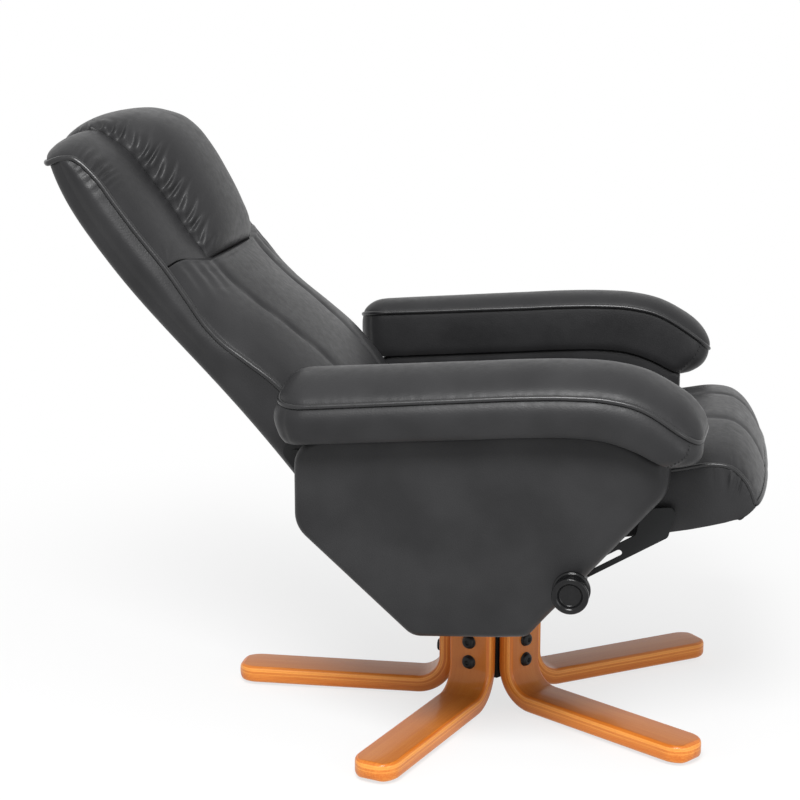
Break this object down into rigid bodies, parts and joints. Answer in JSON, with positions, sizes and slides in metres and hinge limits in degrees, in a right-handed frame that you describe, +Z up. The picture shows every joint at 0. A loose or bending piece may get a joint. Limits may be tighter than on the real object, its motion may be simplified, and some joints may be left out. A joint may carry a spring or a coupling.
{
  "type": "swivel recliner chair",
  "caption": "Padded swivel recliner with a sliding seat, a leaning back with a gathered head pillow, cushioned arms, clamp knobs and a bentwood star base.",
  "frame": {"origin": "on the floor under the middle of the whole chair's box, in the reclined rest pose", "axes": "+X the way the sitter faces, +Y the sitter's left, +Z up"},
  "size_m": [1.0647, 0.7926, 0.9271],
  "materials": {
    "lacquered_bentwood": "glossy lacquer",
    "black_faux_leather": "fine grain, soft sheen",
    "plywood": "bare",
    "black_steel": "black powder coat",
    "zinc_steel": "zinc plated",
    "black_plastic": "glossy",
    "bearing_plastic": "matt",
    "elastic_web": "woven"
  },
  "bodies": {
    "base": {"base_leg_1": "lacquered_bentwood", "base_leg_2": "lacquered_bentwood", "base_leg_3": "lacquered_bentwood", "base_leg_4": "lacquered_bentwood", "base_leg_5": "lacquered_bentwood", "hub_core": "black_steel", "spindle_bush": "bearing_plastic", "thrust_bearing": "bearing_plastic", "floor_glide_1": "black_plastic", "floor_glide_2": "black_plastic", "floor_glide_3": "black_plastic", "floor_glide_4": "black_plastic", "floor_glide_5": "black_plastic"},
    "frame": {"swivel_spindle": "black_steel", "swivel_plate": "black_steel", "cross_tube_front": "black_steel", "cross_tube_rear": "black_steel", "side_bracket_right": "black_steel", "side_bracket_left": "black_steel", "pivot_pin_right": "zinc_steel", "pivot_pin_left": "zinc_steel", "side_lining_right": "black_faux_leather", "side_lining_left": "black_faux_leather", "side_board_right": "plywood", "side_board_left": "plywood", "side_pad_right": "black_faux_leather", "side_pad_left": "black_faux_leather", "arm_board_right": "plywood", "arm_board_left": "plywood", "arm_pad_right": "black_faux_leather", "arm_pad_left": "black_faux_leather", "friction_washer_right": "bearing_plastic", "friction_washer_left": "bearing_plastic", "clamp_nut_right": "zinc_steel", "clamp_nut_left": "zinc_steel"},
    "seat": {"seat_rail_right": "plywood", "seat_rail_left": "plywood", "seat_rail_front": "plywood", "seat_rail_rear": "plywood", "seat_webbing": "elastic_web", "seat_cushion": "black_faux_leather", "slide_plate_right": "black_steel", "slide_plate_left": "black_steel", "seat_lug_right": "black_steel", "seat_lug_left": "black_steel"},
    "back": {"back_shell": "black_faux_leather", "back_stile_right": "plywood", "back_stile_left": "plywood", "back_rail_bottom": "plywood", "back_rail_top": "plywood", "hinge_plate_right": "black_steel", "hinge_plate_left": "black_steel", "lumbar_cushion": "black_faux_leather", "head_pillow": "black_faux_leather", "head_wing_right": "black_faux_leather", "head_wing_left": "black_faux_leather"},
    "knob_right": {"knob_right": "black_plastic", "knob_stud_right": "zinc_steel"},
    "knob_left": {"knob_left": "black_plastic", "knob_stud_left": "zinc_steel"}
  },
  "joints": [
    {"name": "swivel", "type": "hinge", "parent": "base", "child": "frame", "pos_m": [0.1083, 0, 0.17], "axis": [0, 0, 1], "continuous": true},
    {"name": "recline", "type": "hinge", "parent": "frame", "child": "back", "pos_m": [-0.1067, 0, 0.44], "axis": [0, 1, 0], "range_deg": [0, 24.2]},
    {"name": "seat_slide", "type": "slide", "parent": "frame", "child": "seat", "axis": [0.866, 0, 0.5], "range_m": [-0.0701, 0]},
    {"name": "knob_turn_right", "type": "hinge", "parent": "frame", "child": "knob_right", "pos_m": [0.2613, -0.34, 0.289], "axis": [0, -1, 0], "range_deg": [0, 270]},
    {"name": "knob_turn_left", "type": "hinge", "parent": "frame", "child": "knob_left", "pos_m": [0.2613, 0.34, 0.289], "axis": [0, 1, 0], "range_deg": [0, 270]}
  ],
  "couplings": [
    {"joint": "seat_slide", "follows": "recline", "m_per_rad": -0.16576}
  ]
}
